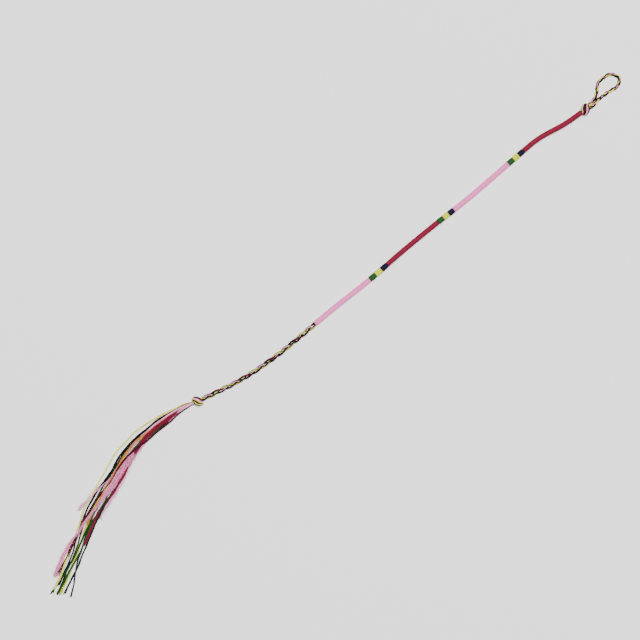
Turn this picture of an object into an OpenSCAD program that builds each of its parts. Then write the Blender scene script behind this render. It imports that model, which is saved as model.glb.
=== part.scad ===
// Friendship bracelet: a braided loop, a knot, a cord wound with coloured thread, a loose braid,
// a second knot and a tassel, lying open on a flat surface. All sizes are in millimetres.

/* [Wound cord] */
// Diameter of the long wound stretches
cord_d = 2.7; // [2:0.1:4]
// Diameter of the narrow bands, which are wound a little thicker
band_d = 2.9; // [2.2:0.1:4.4]
// Thickness of one layer of wound thread
wrap_wall = 0.4; // [0.3:0.05:0.6]
// Length of the crimson stretch beside the loop
crimson_1_l = 34.5; // [20:0.5:60]
// Length of the pink stretch after it
pink_1_l = 35; // [20:0.5:60]
// Length of the second crimson stretch
crimson_2_l = 32.5; // [20:0.5:60]
// Length of the pink stretch beside the braid
pink_2_l = 34.5; // [20:0.5:60]
// Width of each band in the first group of three
band_1_w = 3.2; // [2:0.1:6]
// Width of each band in the second group
band_2_w = 3.2; // [2:0.1:6]
// Width of each band in the third group
band_3_w = 3.7; // [2:0.1:6]

/* [Loop] */
// Length of the loop from its knot to its far end
loop_l = 19.2; // [16:0.2:26]
// Width of the loop between the middles of its two sides
loop_w = 8; // [7.4:0.2:12]
// Width of the braided cord that makes the loop
loop_cord_w = 1.5; // [1:0.1:1.8]
// Length over which a strand of the loop's braid comes back to its side
loop_pitch = 9; // [7:0.5:14]

/* [Braid] */
// Length of the loose braid between the winding and the tail knot
braid_l = 66; // [40:1:100]
// Width of the braid
braid_w = 2.7; // [2:0.1:3.4]
// Length over which a strand of the braid comes back to its side
braid_pitch = 15; // [11:0.5:22]

/* [Knots] */
// Length of each knot along the cord
knot_l = 6; // [5:0.2:8]
// Width of each knot
knot_w = 4.3; // [3.8:0.1:6]
// Height of each knot as it lies
knot_h = 3.7; // [3.2:0.1:5]

/* [Tassel] */
// Length of the longest thread of the tassel
tassel_l = 123; // [60:1:180]
// How far the threads spread to each side
tassel_spread = 4; // [3:0.25:8]
// Diameter of a loose thread
thread_d = 0.9; // [0.7:0.05:1.2]

/* [Hidden] */

// Thread colours
CRIMSON = "#a3294a";
PINK = "#f0a6cb";
NAVY = "#14123c";
YELLOW = "#f3ee6c";
GREEN = "#1d5a33";
MAROON = "#6b1c38";

// Clearance between neighbouring pieces, round the bundle inside the winding, and where a strand meets a
// face at a slant
fit_gap = 0.06;
core_gap = 0.1;
slant_gap = 0.25;
// Diameter of the bundle of threads inside the winding
core_d = cord_d - 2 * wrap_wall - 2 * core_gap;

// Width, thickness and rise of a braid's strands, as shares of the braid's width
strand_wide = 0.33;
strand_thick = 0.25;
strand_rise = 0.21;

// How the bracelet lies: points along its middle, from the loop side of the loop knot to the tassel's end,
// in a plan whose length still runs at lie_turn degrees to the row axis.
lie_turn = 42;
LIE = [
    [0, 0], [-12.5, -9], [-25, -16], [-34.5, -23.5], [-60, -45.5], [-76.5, -58.5], [-93.5, -72.5],
    [-108.5, -85.5], [-128.5, -101.5], [-152.5, -121.5], [-170.5, -134], [-189, -143.5], [-202.5, -149.5],
    [-211, -154], [-221.5, -162.5], [-229, -171], [-235, -181.5], [-246.5, -201.5], [-253.5, -220],
    [-263.5, -242]
];

// The loop's outline from one leg round to the other: how far along its length and to which side, as shares
// of loop_l and loop_w. Its length points loop_turn degrees up in the same plan.
loop_turn = 47;
LOOP_SHAPE = [
    [0.12, 0.145], [0.21, 0.20], [0.32, 0.29], [0.42, 0.46], [0.54, 0.61], [0.70, 0.61], [0.88, 0.49],
    [0.97, 0.21], [1.00, -0.05], [0.94, -0.26], [0.79, -0.38], [0.57, -0.24], [0.41, -0.165], [0.26, -0.10],
    [0.135, -0.065]
];

// The windings in order along the cord: length, diameter, colour.
WINDINGS = [
    [crimson_1_l, cord_d, CRIMSON],
    [band_1_w, band_d, NAVY], [band_1_w, band_d, YELLOW], [band_1_w, band_d, GREEN],
    [pink_1_l, cord_d, PINK],
    [band_2_w, band_d, NAVY], [band_2_w, band_d, YELLOW], [band_2_w, band_d, GREEN],
    [crimson_2_l, cord_d, CRIMSON],
    [band_3_w, band_d, NAVY], [band_3_w, band_d, YELLOW], [band_3_w, band_d, GREEN],
    [pink_2_l, cord_d, PINK]
];

// The tassel's threads, in the three rows in which they leave the head, from the bottom row up and from one
// side to the other. Each row of the table: length as a share of tassel_l, the offset to the side at the head
// and at each fifth of tassel_l as shares of tassel_spread, and the layer above the surface at each fifth.
TASSEL_ROWS = [
    [
        [0.96, [-0.05, -0.60, -1.05, -1.00, -0.62, -0.55], [0, 0, 0, 0, 0]],
        [0.94, [0.05, -0.30, -0.50, -0.65, -0.36, -0.24], [0, 0, 0, 0, 0]],
        [0.96, [0.15, 0.00, -0.20, -0.32, -0.10, 0.02], [0, 0, 0, 0, 0]],
        [0.97, [0.30, 0.30, 0.10, 0.00, 0.22, 0.35], [0, 0, 0, 0, 0]],
        [0.96, [0.45, 0.60, 0.42, 0.35, 0.62, 1.95], [0, 0, 0, 0, 0]],
        [0.96, [0.60, 0.90, 1.05, 1.00, 0.90, 0.85], [0, 0, 0, 1, 1]]
    ],
    [
        [0.90, [0.00, -0.10, 0.00, -0.15, -0.75, -1.00], [1, 1, 1, 1, 1]],
        [0.75, [0.20, 0.20, 0.28, 0.15, 0.20, 0.20], [1, 1, 1, 1, 1]],
        [0.98, [0.35, 0.45, 0.54, 0.42, 0.05, -0.65], [1, 1, 1, 1, 1]],
        [0.97, [0.50, 0.72, 0.80, 0.70, 0.40, 0.00], [1, 1, 1, 1, 1]],
        [0.62, [0.80, 1.20, 1.40, 1.26, 1.20, 1.20], [0, 0, 0, 0, 0]]
    ],
    [
        [0.63, [0.10, 0.10, -0.15, -1.30, -1.60, -1.60], [2, 2, 0, 0, 0]],
        [0.91, [0.40, 0.60, 0.75, 0.12, -1.20, -0.95], [2, 2, 2, 0, 0]],
        [0.75, [0.70, 1.00, 1.10, 0.68, 0.60, 0.60], [1, 1, 2, 2, 2]]
    ]
];

// Where the pieces begin along the cord
winding_start = knot_l + fit_gap;
winding_end = winding_start + total([for (w = WINDINGS) w[0] + fit_gap]);
braid_start = winding_end + slant_gap;
tail_knot_start = braid_start + braid_l;
tassel_start = tail_knot_start + knot_l + fit_gap;

// Heights of the middles of the pieces above the surface
cord_z = max(cord_d, band_d) / 2;
knot_z = knot_h / 2;
braid_z = braid_height(braid_w) / 2;
loop_z = braid_height(loop_cord_w) / 2;
// Height at which the braids leave a knot, and the length over which they come down from it
leave_z = 1.35;
settle_l = 6;

// Facets
cord_sides = 12;
strand_sides = 8;
thread_sides = 6;
knot_sides = 16;
winding_step = 2.9;
core_step = 5;
strand_steps = 10;
thread_step = 6;
knot_rings = 12;
curve_steps = 6;

// Sums, curves and lengths
function total(list, i = 0) = i < len(list) ? list[i] + total(list, i + 1) : 0;
function ease(f) = let (c = min(max(f, 0), 1)) c * c * (3 - 2 * c);
function between(a, b, c, d, t) =
    0.5 * (2 * b + (c - a) * t + (2 * a - 5 * b + 4 * c - d) * t * t + (3 * b - a - 3 * c + d) * t * t * t);
function smooth(points) = concat(
    [for (i = [0 : len(points) - 2], k = [0 : curve_steps - 1])
        between(points[max(i - 1, 0)], points[i], points[i + 1], points[min(i + 2, len(points) - 1)],
                k / curve_steps)],
    [points[len(points) - 1]]);
function runs(points) =
    [for (i = 0, s = 0; i < len(points); s = s + (i + 1 < len(points) ? norm(points[i + 1] - points[i]) : 0),
          i = i + 1) s];
function track(points) = let (s = runs(points), last = len(points) - 1)
    [[for (i = [0 : last]) [s[i], points[i][0]]], [for (i = [0 : last]) [s[i], points[i][1]]], s[last]];
function on_track(t, s) = let (c = min(max(s, 0), t[2])) [lookup(c, t[0]), lookup(c, t[1])];
function at(t, s) =
    s > t[2] ? on_track(t, t[2]) + (s - t[2]) * (on_track(t, t[2]) - on_track(t, t[2] - 1))
    : s < 0 ? on_track(t, 0) + s * (on_track(t, 1) - on_track(t, 0))
    : on_track(t, s);
function heading(t, s) = let (d = at(t, s + 0.5) - at(t, s - 0.5)) d / norm(d);
function left_of(d) = [-d[1], d[0]];

// A flat three-strand braid of width w: its strands' width and thickness, how far they swing, and its height
function strand_w(w) = strand_wide * w;
function strand_t(w) = strand_thick * w;
function braid_side(w) = (w - strand_w(w)) / 2;
function braid_rise(w) = strand_rise * w;
function braid_height(w) = 2 * braid_rise(w) + strand_t(w);

// The cord's own track and the loop's
CORD_TRACK = track(smooth(LIE));
function turned(p, a) = [p[0] * cos(a) - p[1] * sin(a), p[0] * sin(a) + p[1] * cos(a)];
leg_side = loop_cord_w / 2 + fit_gap;
leg_l = 1.2;
function leg(along, side) = -along * heading(CORD_TRACK, 0) - side * left_of(heading(CORD_TRACK, 0));
LOOP_TRACK = track(smooth(concat(
    [leg(0, leg_side), leg(leg_l, leg_side)],
    [for (p = LOOP_SHAPE) turned([p[0] * loop_l, p[1] * loop_w], loop_turn)],
    [leg(leg_l, -leg_side), leg(0, -leg_side)])));

// Height of the middle of the loose braid at length s of the cord, and of the loop at length s of its own
function braid_level(s) =
    let (down = cord_z + (braid_z - cord_z) * ease((s - braid_start) / settle_l),
         up = ease(1 - (tail_knot_start - s) / settle_l))
    down + (leave_z - down) * up;
function loop_level(s) = leave_z + (loop_z - leave_z) * ease(min(s, LOOP_TRACK[2] - s) / settle_l);

// A point in the middle of the wound cord
function cord_middle(s) = concat(at(CORD_TRACK, s), [cord_z]);

// A strand of a braid: centre points along a track, for the strand that is phase degrees on
function braid_line(t, from, to, pitch, w, phase, level) =
    let (count = ceil((to - from) / pitch * strand_steps))
    [for (i = [0 : count])
        let (s = from + (to - from) * i / count, a = 360 * (s - from) / pitch + phase,
             side = left_of(heading(t, s)), p = at(t, s) + braid_side(w) * sin(a) * side)
        [p[0], p[1], level(s) + braid_rise(w) * sin(2 * a)]];

// The head of the tassel: the bundle's length, radius and height where it leaves the knot, and how far apart
// the threads start in it
head_l = 3.5;
head_r = braid_w / 2;
head_z = max(leave_z, head_r);
head_pitch = 0.32 * head_r;
// Length over which the threads spread, their thickness where they start, and how much wider each is at its
// cut end
spread_l = 15;
thread_start_d = head_pitch - fit_gap / 2;
cut_flare = 0.12 * thread_d;

// One thread of the tassel: its centre points, from inside the head to its cut end
function fifths(values, f) =
    let (u = min(f * 5, 4.999), i = floor(u))
    between(values[max(i - 1, 0)], values[i], values[i + 1], values[min(i + 2, 5)], u - i);
function thread_line(r, k) =
    let (row = TASSEL_ROWS[r][k], l = row[0] * tassel_l, count = ceil(l / thread_step),
         head_side = (k - (len(TASSEL_ROWS[r]) - 1) / 2) * head_pitch, head_up = (r - 1) * head_pitch * 1.3,
         layers = concat([row[2][0]], row[2]))
    [for (i = [0 : count])
        let (s = l * i / count, f = s / tassel_l, p = at(CORD_TRACK, tassel_start + s),
             across = left_of(heading(CORD_TRACK, tassel_start + s)),
             apart = ease((s - head_l / 2) / spread_l), down = ease((s - head_l / 2) / settle_l / 3),
             offset = head_side * (1 - apart) + tassel_spread * fifths(row[1], f) * apart,
             low = thread_d / 2 + max(fifths(layers, f), 0) * (thread_d + fit_gap))
        [p[0] + offset * across[0], p[1] + offset * across[1],
         (head_z + head_up) * (1 - down) + (i < count ? low : low + cut_flare) * down]];

// Solids swept along centre points: rings of w by h, then end faces
function directions(line) = let (last = len(line) - 1)
    [for (i = [0 : last]) let (d = line[min(i + 1, last)] - line[max(i - 1, 0)]) d / norm(d)];
function ring(c, d, w, h, sides) =
    let (n = [-d[1], d[0], 0] / norm([d[0], d[1]]), b = cross(d, n))
    [for (k = [0 : sides - 1]) c + w / 2 * cos(360 * k / sides) * n + h / 2 * sin(360 * k / sides) * b];
function wall(rings, sides, first = 0, flip = false) =
    [for (i = [0 : rings - 2], k = [0 : sides - 1])
        let (a = first + i * sides + k, b = first + i * sides + (k + 1) % sides)
        flip ? [a, b, b + sides, a + sides] : [a, a + sides, b + sides, b]];
module sweep(line, w, h, sides) {
    dirs = directions(line);
    last = len(line) - 1;
    points = [for (i = [0 : last]) each ring(line[i], dirs[i], w[i], h[i], sides)];
    ends = [[for (k = [0 : sides - 1]) k], [for (k = [sides - 1 : -1 : 0]) last * sides + k]];
    polyhedron(points, concat(wall(last + 1, sides), ends));
}
function same(v, line) = [for (p = line) v];
module strand(line, w) {
    sweep(line, same(strand_w(w), line), same(strand_t(w), line), strand_sides);
}

// Turns the plan so that the bracelet's length lies along X, and sets its middle over the origin
PLAN = concat([for (i = [0 : 20]) at(LOOP_TRACK, LOOP_TRACK[2] * i / 20)],
              [for (i = [0 : 20]) at(CORD_TRACK, tassel_start * i / 20)],
              [for (r = [0 : 2], k = [0 : len(TASSEL_ROWS[r]) - 1], p = thread_line(r, k)) [p[0], p[1]]]);
PLAN_X = [for (p = PLAN) turned(p, -lie_turn)[0]];
PLAN_Y = [for (p = PLAN) turned(p, -lie_turn)[1]];
MIDDLE = [(min(PLAN_X) + max(PLAN_X)) / 2, (min(PLAN_Y) + max(PLAN_Y)) / 2, 0];
module laid() {
    translate(-MIDDLE) rotate([0, 0, -lie_turn]) children();
}

// One strand of the loop's braid, from the knot round the loop and back
module loop_strand(k, shade) {
    line = braid_line(LOOP_TRACK, slant_gap, LOOP_TRACK[2] - slant_gap, loop_pitch, loop_cord_w, 120 * k,
                      function (s) loop_level(s));
    color(shade)
        laid() strand(line, loop_cord_w);
}

// One strand of the loose braid
module braid_strand(k, shade) {
    line = braid_line(CORD_TRACK, braid_start, tail_knot_start - slant_gap, braid_pitch, braid_w, 120 * k,
                      function (s) braid_level(s));
    color(shade)
        laid() strand(line, braid_w);
}

// An overhand knot pulled tight: two turns of the bundle stand out round it as a ridge.
// Each face is given as its half width, its half height and the height of its middle.
module knot(start, first_face, last_face, shade) {
    turns = 2;
    ridge = 0.1;
    fullness = 0.6;
    body = [knot_w / 2 / (1 + ridge), knot_h / 2 / (1 + ridge), knot_z];
    points = [for (i = [0 : knot_rings])
        let (f = i / knot_rings, s = start + knot_l * f, p = at(CORD_TRACK, s),
             n = left_of(heading(CORD_TRACK, s)), swell = pow(sin(180 * f), fullness),
             face = first_face + (last_face - first_face) * f, size = face + (body - face) * swell)
        for (k = [0 : knot_sides - 1])
            let (a = 360 * k / knot_sides, bump = 1 + ridge * swell * cos(a - 360 * turns * f))
            [p[0] + size[0] * bump * cos(a) * n[0], p[1] + size[0] * bump * cos(a) * n[1],
             size[2] + size[1] * bump * sin(a)]];
    ends = [[for (k = [0 : knot_sides - 1]) k],
            [for (k = [knot_sides - 1 : -1 : 0]) knot_rings * knot_sides + k]];
    color(shade)
        laid() polyhedron(points, concat(wall(knot_rings + 1, knot_sides), ends));
}

// The threads inside the winding, packed into one round bundle
module core_threads() {
    count = ceil((winding_end - winding_start) / core_step);
    line = [for (i = [0 : count]) cord_middle(winding_start + (winding_end - winding_start) * i / count)];
    color(MAROON)
        laid() sweep(line, same(core_d, line), same(core_d, line), cord_sides);
}

// One winding: a sleeve of closely wound thread round the core, its two ends rounded off
module winding(i) {
    from = winding_start + total([for (k = [0 : 1 : i - 1]) WINDINGS[k][0] + fit_gap]);
    length = WINDINGS[i][0];
    outer = WINDINGS[i][1] / 2;
    inner = cord_d / 2 - wrap_wall;
    round_l = min(length / 4, 1);
    end_share = 0.62;
    plain_l = length - 2 * round_l;
    count = ceil(plain_l / winding_step);
    stops = concat([0], [for (i = [0 : count]) round_l + plain_l * i / count], [length]);
    rings = len(stops);
    line = [for (s = stops) cord_middle(from + s)];
    dirs = directions(line);
    function outer_r(k) = k == 0 || k == rings - 1 ? inner + (outer - inner) * end_share : outer;
    function round_ring(k, r) = ring(line[k], dirs[k], 2 * r, 2 * r, cord_sides);
    points = concat([for (k = [0 : rings - 1]) each round_ring(k, outer_r(k))],
                    [for (k = [0 : rings - 1]) each round_ring(k, inner)]);
    hollow = rings * cord_sides;
    last = (rings - 1) * cord_sides;
    ends = [for (k = [0 : cord_sides - 1]) let (m = (k + 1) % cord_sides)
        each [[k, m, hollow + m, hollow + k],
              [last + m, last + k, hollow + last + k, hollow + last + m]]];
    faces = concat(wall(rings, cord_sides), wall(rings, cord_sides, hollow, true), ends);
    color(WINDINGS[i][2])
        laid() polyhedron(points, faces);
}

// The tassel: threads fused to the short bundle that leaves the knot, each a little wider at its cut end
module tassel() {
    head_line = [for (s = [0, head_l / 2, head_l]) concat(at(CORD_TRACK, tassel_start + s), [head_z])];
    color(PINK)
        laid() {
            sweep(head_line, 2 * head_r * [0.9, 1, 0.85], 2 * head_r * [0.9, 1, 0.85], cord_sides);
            for (r = [0 : 2], k = [0 : len(TASSEL_ROWS[r]) - 1]) {
                line = thread_line(r, k);
                last = len(line) - 1;
                width = [for (i = [0 : last])
                    i == last ? thread_d + 2 * cut_flare
                    : thread_start_d + (thread_d - thread_start_d) * ease(i * thread_step / spread_l)];
                sweep(line, width, width, thread_sides);
            }
        }
}

loop_strand(0, NAVY);  // loop_strand_1
loop_strand(1, YELLOW);  // loop_strand_2
loop_strand(2, MAROON);  // loop_strand_3
knot(0, [2 * leg_side, braid_height(loop_cord_w) / 2, leave_z], [core_d / 2, core_d / 2, cord_z], PINK);  // loop_knot
core_threads();
winding(0);  // crimson_wrap_1
winding(1);  // navy_band_1
winding(2);  // yellow_band_1
winding(3);  // green_band_1
winding(4);  // pink_wrap_1
winding(5);  // navy_band_2
winding(6);  // yellow_band_2
winding(7);  // green_band_2
winding(8);  // crimson_wrap_2
winding(9);  // navy_band_3
winding(10);  // yellow_band_3
winding(11);  // green_band_3
winding(12);  // pink_wrap_2
braid_strand(0, GREEN);  // braid_strand_1
braid_strand(1, PINK);  // braid_strand_2
braid_strand(2, MAROON);  // braid_strand_3
knot(tail_knot_start, [braid_w / 2, braid_height(braid_w) / 2, leave_z], [head_r, head_r, head_z],  // tail_knot
         YELLOW);
tassel();
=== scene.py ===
"""Friendship bracelet: cotton floss wound, braided, knotted and left loose as a tassel.

The bracelet lies open on a pale surface and is seen from straight above. Its route, loop and threads lie
close to those of the part's own source, in millimetres, and every piece is a surface worked out with numpy.
"""

import math
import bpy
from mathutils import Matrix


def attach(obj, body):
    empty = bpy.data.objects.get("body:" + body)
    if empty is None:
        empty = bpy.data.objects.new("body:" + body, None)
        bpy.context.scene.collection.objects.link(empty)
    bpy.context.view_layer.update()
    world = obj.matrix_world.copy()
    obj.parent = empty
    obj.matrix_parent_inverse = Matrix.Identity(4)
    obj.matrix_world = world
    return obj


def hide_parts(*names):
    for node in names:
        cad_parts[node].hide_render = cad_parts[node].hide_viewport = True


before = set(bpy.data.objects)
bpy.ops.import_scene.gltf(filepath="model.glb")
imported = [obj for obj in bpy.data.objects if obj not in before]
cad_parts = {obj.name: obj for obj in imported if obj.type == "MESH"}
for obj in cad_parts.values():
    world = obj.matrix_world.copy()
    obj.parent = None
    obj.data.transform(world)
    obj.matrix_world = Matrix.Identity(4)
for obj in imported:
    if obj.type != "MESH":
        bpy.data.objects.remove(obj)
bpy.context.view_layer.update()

from types import SimpleNamespace

import bpy
import numpy as np
from bpy.props import FloatProperty, FloatVectorProperty, PointerProperty
from bpy.types import Operator, Panel, PropertyGroup

bl_info = {
    "name": "Friendship bracelet",
    "version": (1, 0, 0),
    "blender": (4, 5, 0),
    "location": "3D View > Sidebar > Bracelet",
    "description": "Builds a wound, braided and knotted floss bracelet over its solid parts",
    "category": "Object",
}

MM = 0.001
TURN = 2 * math.pi
UP = (0.0, 0.0, 1.0)

# How the bracelet lies: points along its middle in millimetres, from the loop's side of the loop knot to the
# end of the tassel, in a plan that is turned by LIE_TURN degrees from the row's axes
LIE_TURN = 42
LIE = [
    (0, 0), (-12.5, -9), (-25, -16), (-34.5, -23.5), (-60, -45.5), (-76.5, -58.5), (-93.5, -72.5),
    (-108.5, -85.5), (-128.5, -101.5), (-152.5, -121.5), (-170.5, -134), (-189, -143.5), (-202.5, -149.5),
    (-211, -154), (-221.5, -162.5), (-229, -171), (-235, -181.5), (-246.5, -201.5), (-253.5, -220),
    (-263.5, -242),
]

# The loop's outline as shares of its length and width, its length at LOOP_TURN degrees in the plan
LOOP_TURN = 47
LOOP_SHAPE = [
    (0.12, 0.105), (0.21, 0.14), (0.32, 0.275), (0.42, 0.45), (0.54, 0.61), (0.7, 0.61), (0.88, 0.49),
    (0.97, 0.21), (1, -0.05), (0.94, -0.26), (0.79, -0.38), (0.57, -0.24), (0.41, -0.165), (0.26, -0.095),
    (0.135, -0.09),
]

# The tassel's threads: floss colour, row and place in the head, length as a share of the tassel's, width, in
# threads, and place to the side, as a share of the spread, both at the head and at each fifth of the tassel,
# and the layer that it lies in at each fifth.
TASSEL_THREADS = [
    ("straw", 0, 0, 0.96, (2, 1.4, 1, 1, 1.2, 1.6),
     (-0.05, -0.6, -1.05, -0.92, -0.62, -0.55), (0, 0, 0, 1, 2)),
    ("ink", 1, 0, 0.94, (1, 1.4, 1.6, 1.4, 1, 1.5),
     (0.05, -0.14, -0.4, -0.65, -0.36, -0.24), (1, 0, 0, 0, 0)),
    ("pine", 0, 2, 0.96, (1, 1, 1, 1, 1, 1.5),
     (0.15, 0, -0.2, -0.32, -0.1, 0.02), (0, 0, 0, 0, 0)),
    ("yellow", 0, 3, 0.97, (1, 1, 1, 1.2, 1.8, 2.2),
     (0.3, 0.3, 0.1, 0, 0.22, 0.35), (0, 0, 0, 0, 0)),
    ("navy", 0, 4, 0.96, (1, 1, 1, 1, 1, 1),
     (0.45, 0.6, 0.42, 0.35, 0.62, 1.95), (0, 0, 0, 0, 0)),
    ("pine", 0, 1, 0.96, (1, 1, 1.3, 1.5, 1.2, 1.3),
     (0.6, 0.9, 1.05, 1.05, 0.9, 0.85), (0, 0, 1, 1, 1)),
    ("maroon", 0, 5, 0.9, (1, 1.3, 1.4, 1.3, 2.2, 2.5),
     (0.7, 1.02, 0.24, -0.2, -0.72, -0.94), (2, 2, 1, 1, 1)),
    ("apricot", 1, 1, 0.67, (1, 1, 1.1, 1, 1.4, 1.4),
     (0.2, 0.2, 0, 0.2, 0.3, 0.3), (1, 2, 1, 1, 1)),
    ("green", 1, 4, 0.98, (1, 1, 1, 1, 1.2, 1.8),
     (0.35, 0.45, 0.54, 0.42, 0.05, -0.65), (1, 1, 1, 0, 0)),
    ("green", 1, 3, 0.97, (1, 1, 1, 1, 1, 1.5),
     (0.5, 0.72, 0.8, 0.7, 0.4, 0), (1, 1, 1, 1, 1)),
    ("rose", 2, 2, 0.62, (1, 1.2, 2.2, 2.4, 2.4, 2.4),
     (0.4, 0.72, 1.24, 1.22, 1.2, 1.2), (0, 0, 0, 0, 0)),
    ("rose", 2, 0, 0.63, (1, 1.1, 1, 1.1, 2, 2),
     (0.1, 0.1, 0.3, -1.3, -1.6, -1.6), (1, 0, 0, 0, 0)),
    ("blush", 2, 1, 0.91, (1, 1.2, 3.4, 1, 1.9, 1.8),
     (0.6, 0.95, 0.7, 0.2, -1.2, -0.95), (0, 2, 2, 0, 0)),
    ("crimson", 1, 2, 0.75, (1.6, 1.9, 1, 1, 1, 1),
     (0.5, 0.52, 1.2, 0.92, 0.6, 0.6), (2, 1, 1, 2, 2)),
]
# How many of them leave the head in each row, and the colours whose plies have come loose
ROW_LENGTHS = (6, 5, 3)
LOOSENED = ("blush", "crimson")

# The windings in order along the cord: CAD node, floss colour and the size that is its length. Three bands
# follow each long one but the last.
LONG_WINDINGS = (("crimson", 1), ("pink", 1), ("crimson", 2), ("pink", 2))
BANDS = ("navy", "yellow", "green")
WINDINGS = []
for group, (long_one, number) in enumerate(LONG_WINDINGS, 1):
    WINDINGS.append((f"{long_one}_wrap_{number}", long_one, f"{long_one}_{number}_length"))
    if group < len(LONG_WINDINGS):
        WINDINGS += [(f"{band}_band_{group}", band, f"band_{group}_width") for band in BANDS]

# Which threads run together in each strand of the loose braid and of the loop, and in the windings
BRAID_STRANDS = [
    ("braid_strand_1", "green_thread", ("pine", "yellow", "ink", "green", "straw")),
    ("braid_strand_2", "pink_thread", ("rose", "ink", "maroon", "ink")),
    ("braid_strand_3", "maroon_thread", ("maroon", "ink", "crimson", "navy", "ink")),
]
LOOP_STRANDS = [
    ("loop_strand_1", "navy_thread", ("ink", "ink")),
    ("loop_strand_2", "yellow_thread", ("straw", "pine", "yellow")),
    ("loop_strand_3", "maroon_thread", ("maroon", "pink", "ink")),
]
CORE_THREADS = ("maroon", "pine", "navy", "crimson", "ink", "pink", "straw")

# The threads side by side in the band that goes round each knot, across the band
LOOP_KNOT_THREADS = ("straw", "green", "maroon", "maroon", "ink", "pink", "rose", "maroon", "ink")
TAIL_KNOT_THREADS = ("ink", "maroon", "pink", "rose", "yellow", "ink", "ink", "straw", "ink")

# Half of the path of a cord in an overhand knot that is pulled tight, given from the middle out:
# along the cord, downwards, to the side. The other half is the same, turned half round.
KNOT_PATH = [
    (0, -0.7, 0), (0.5, -0.65, -0.6), (1.2, -0.05, -1.05), (1.4, 0.8, -0.85), (1.0, 1.25, -0.1),
    (0.25, 0.9, 0.45), (-0.65, 0.35, 0.3), (-1.5, 0.4, 0.1), (-2.9, 0.65, 0), (-6.5, 0.7, 0),
]

# Clearances between the solid parts, in millimetres as in the part's source
FIT_GAP = 0.06
SLANT_GAP = 0.25

# A strand's width and thickness, how far it swings up, and its braid's height, as shares of the braid's width
STRAND_WIDE = 0.33
STRAND_THICK = 0.25
STRAND_RISE = 0.21
BRAID_TALL = 2 * STRAND_RISE + STRAND_THICK

# Height at which the braids and the tassel leave a knot, and over what length they settle on the surface
LEAVE_Z = 1.35
SETTLE = 6.0
TASSEL_SETTLE = 18.0
# How far the loop's two legs run straight out of their knot
LEG_RUN = 1.2

# The tassel's head: its length, the length over which the threads spread after it, the step between them as a
# share of its radius, the rows' distance in such steps, and how the threads draw together at the knot
HEAD = 3.5
SPREAD_OVER = 15.0
HEAD_STEP = 0.32
HEAD_ROW = 1.3
GATHERED = 0.5

# Layers of the tassel that are less than this apart count as one
SAME_LAYER = 0.3
# The gap between two threads at which one begins to rise over the other, in millimetres, how far past what it
# crosses it keeps its height, and how many threads can lie on top of each other above the surface
RISE_GAP = 0.1
HOLD = 3
STACK = 4

# Half the thickness and half the width of the band of threads that goes round each knot, and how it arches
KNOT_BAND_THICK = 0.62
KNOT_BAND_WIDE = 2.05
KNOT_BAND_ARCH = 0.45
# Radius of the ring of threads where they leave a knot, and of one such thread
KNOT_RING = 0.58
KNOT_THREAD = 0.27
# About how far KNOT_PATH reaches up and to the side, and its unit as a share of the knot's length
PATH_TALL = 1.93
PATH_WIDE = 2.14
PATH_UNIT = 0.205

# Units of the fibre attribute: to a thread's radius, to a millimetre along it and to its phase, and, in a
# winding, to the radius and to a turn
FIBRE_ROUND = 2
FIBRE_ALONG = 0.35
FIBRE_SHIFT = 7
WOUND_ROUND = 0.9
WOUND_TURN = 5
# How far the middle of a thread's end stands out, as a share of its radius
END_BULGE = 0.4

# Painted shade: what the grooves between plies and turns keep of the colour
GROOVE_SHADE = 0.3

# Where the lamp hangs, in metres. It points at the middle of the bracelet.
KEY_PLACE = (0.67, 0.17, 3.0)


def linear_rgb(hex_colour):
    """Turns an sRGB hex colour to linear red, green and blue."""
    srgb = np.array([int(hex_colour[i:i + 2], 16) / 255 for i in (1, 3, 5)])
    return tuple(np.where(srgb <= 0.04045, srgb / 12.92, ((srgb + 0.055) / 1.055) ** 2.4).tolist())


def in_mm(name, description, default, low, high):
    """The property of a length that a user can change, given here in millimetres."""
    return FloatProperty(name=name, description=description, default=default * MM, min=low * MM,
                         max=high * MM, unit="LENGTH", precision=5)


def dyed(name, description, hex_colour):
    """The property of a floss colour that a user can change."""
    return FloatVectorProperty(name=name, description=description, default=linear_rgb(hex_colour), size=3,
                               min=0, max=1, subtype="COLOR")


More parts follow.
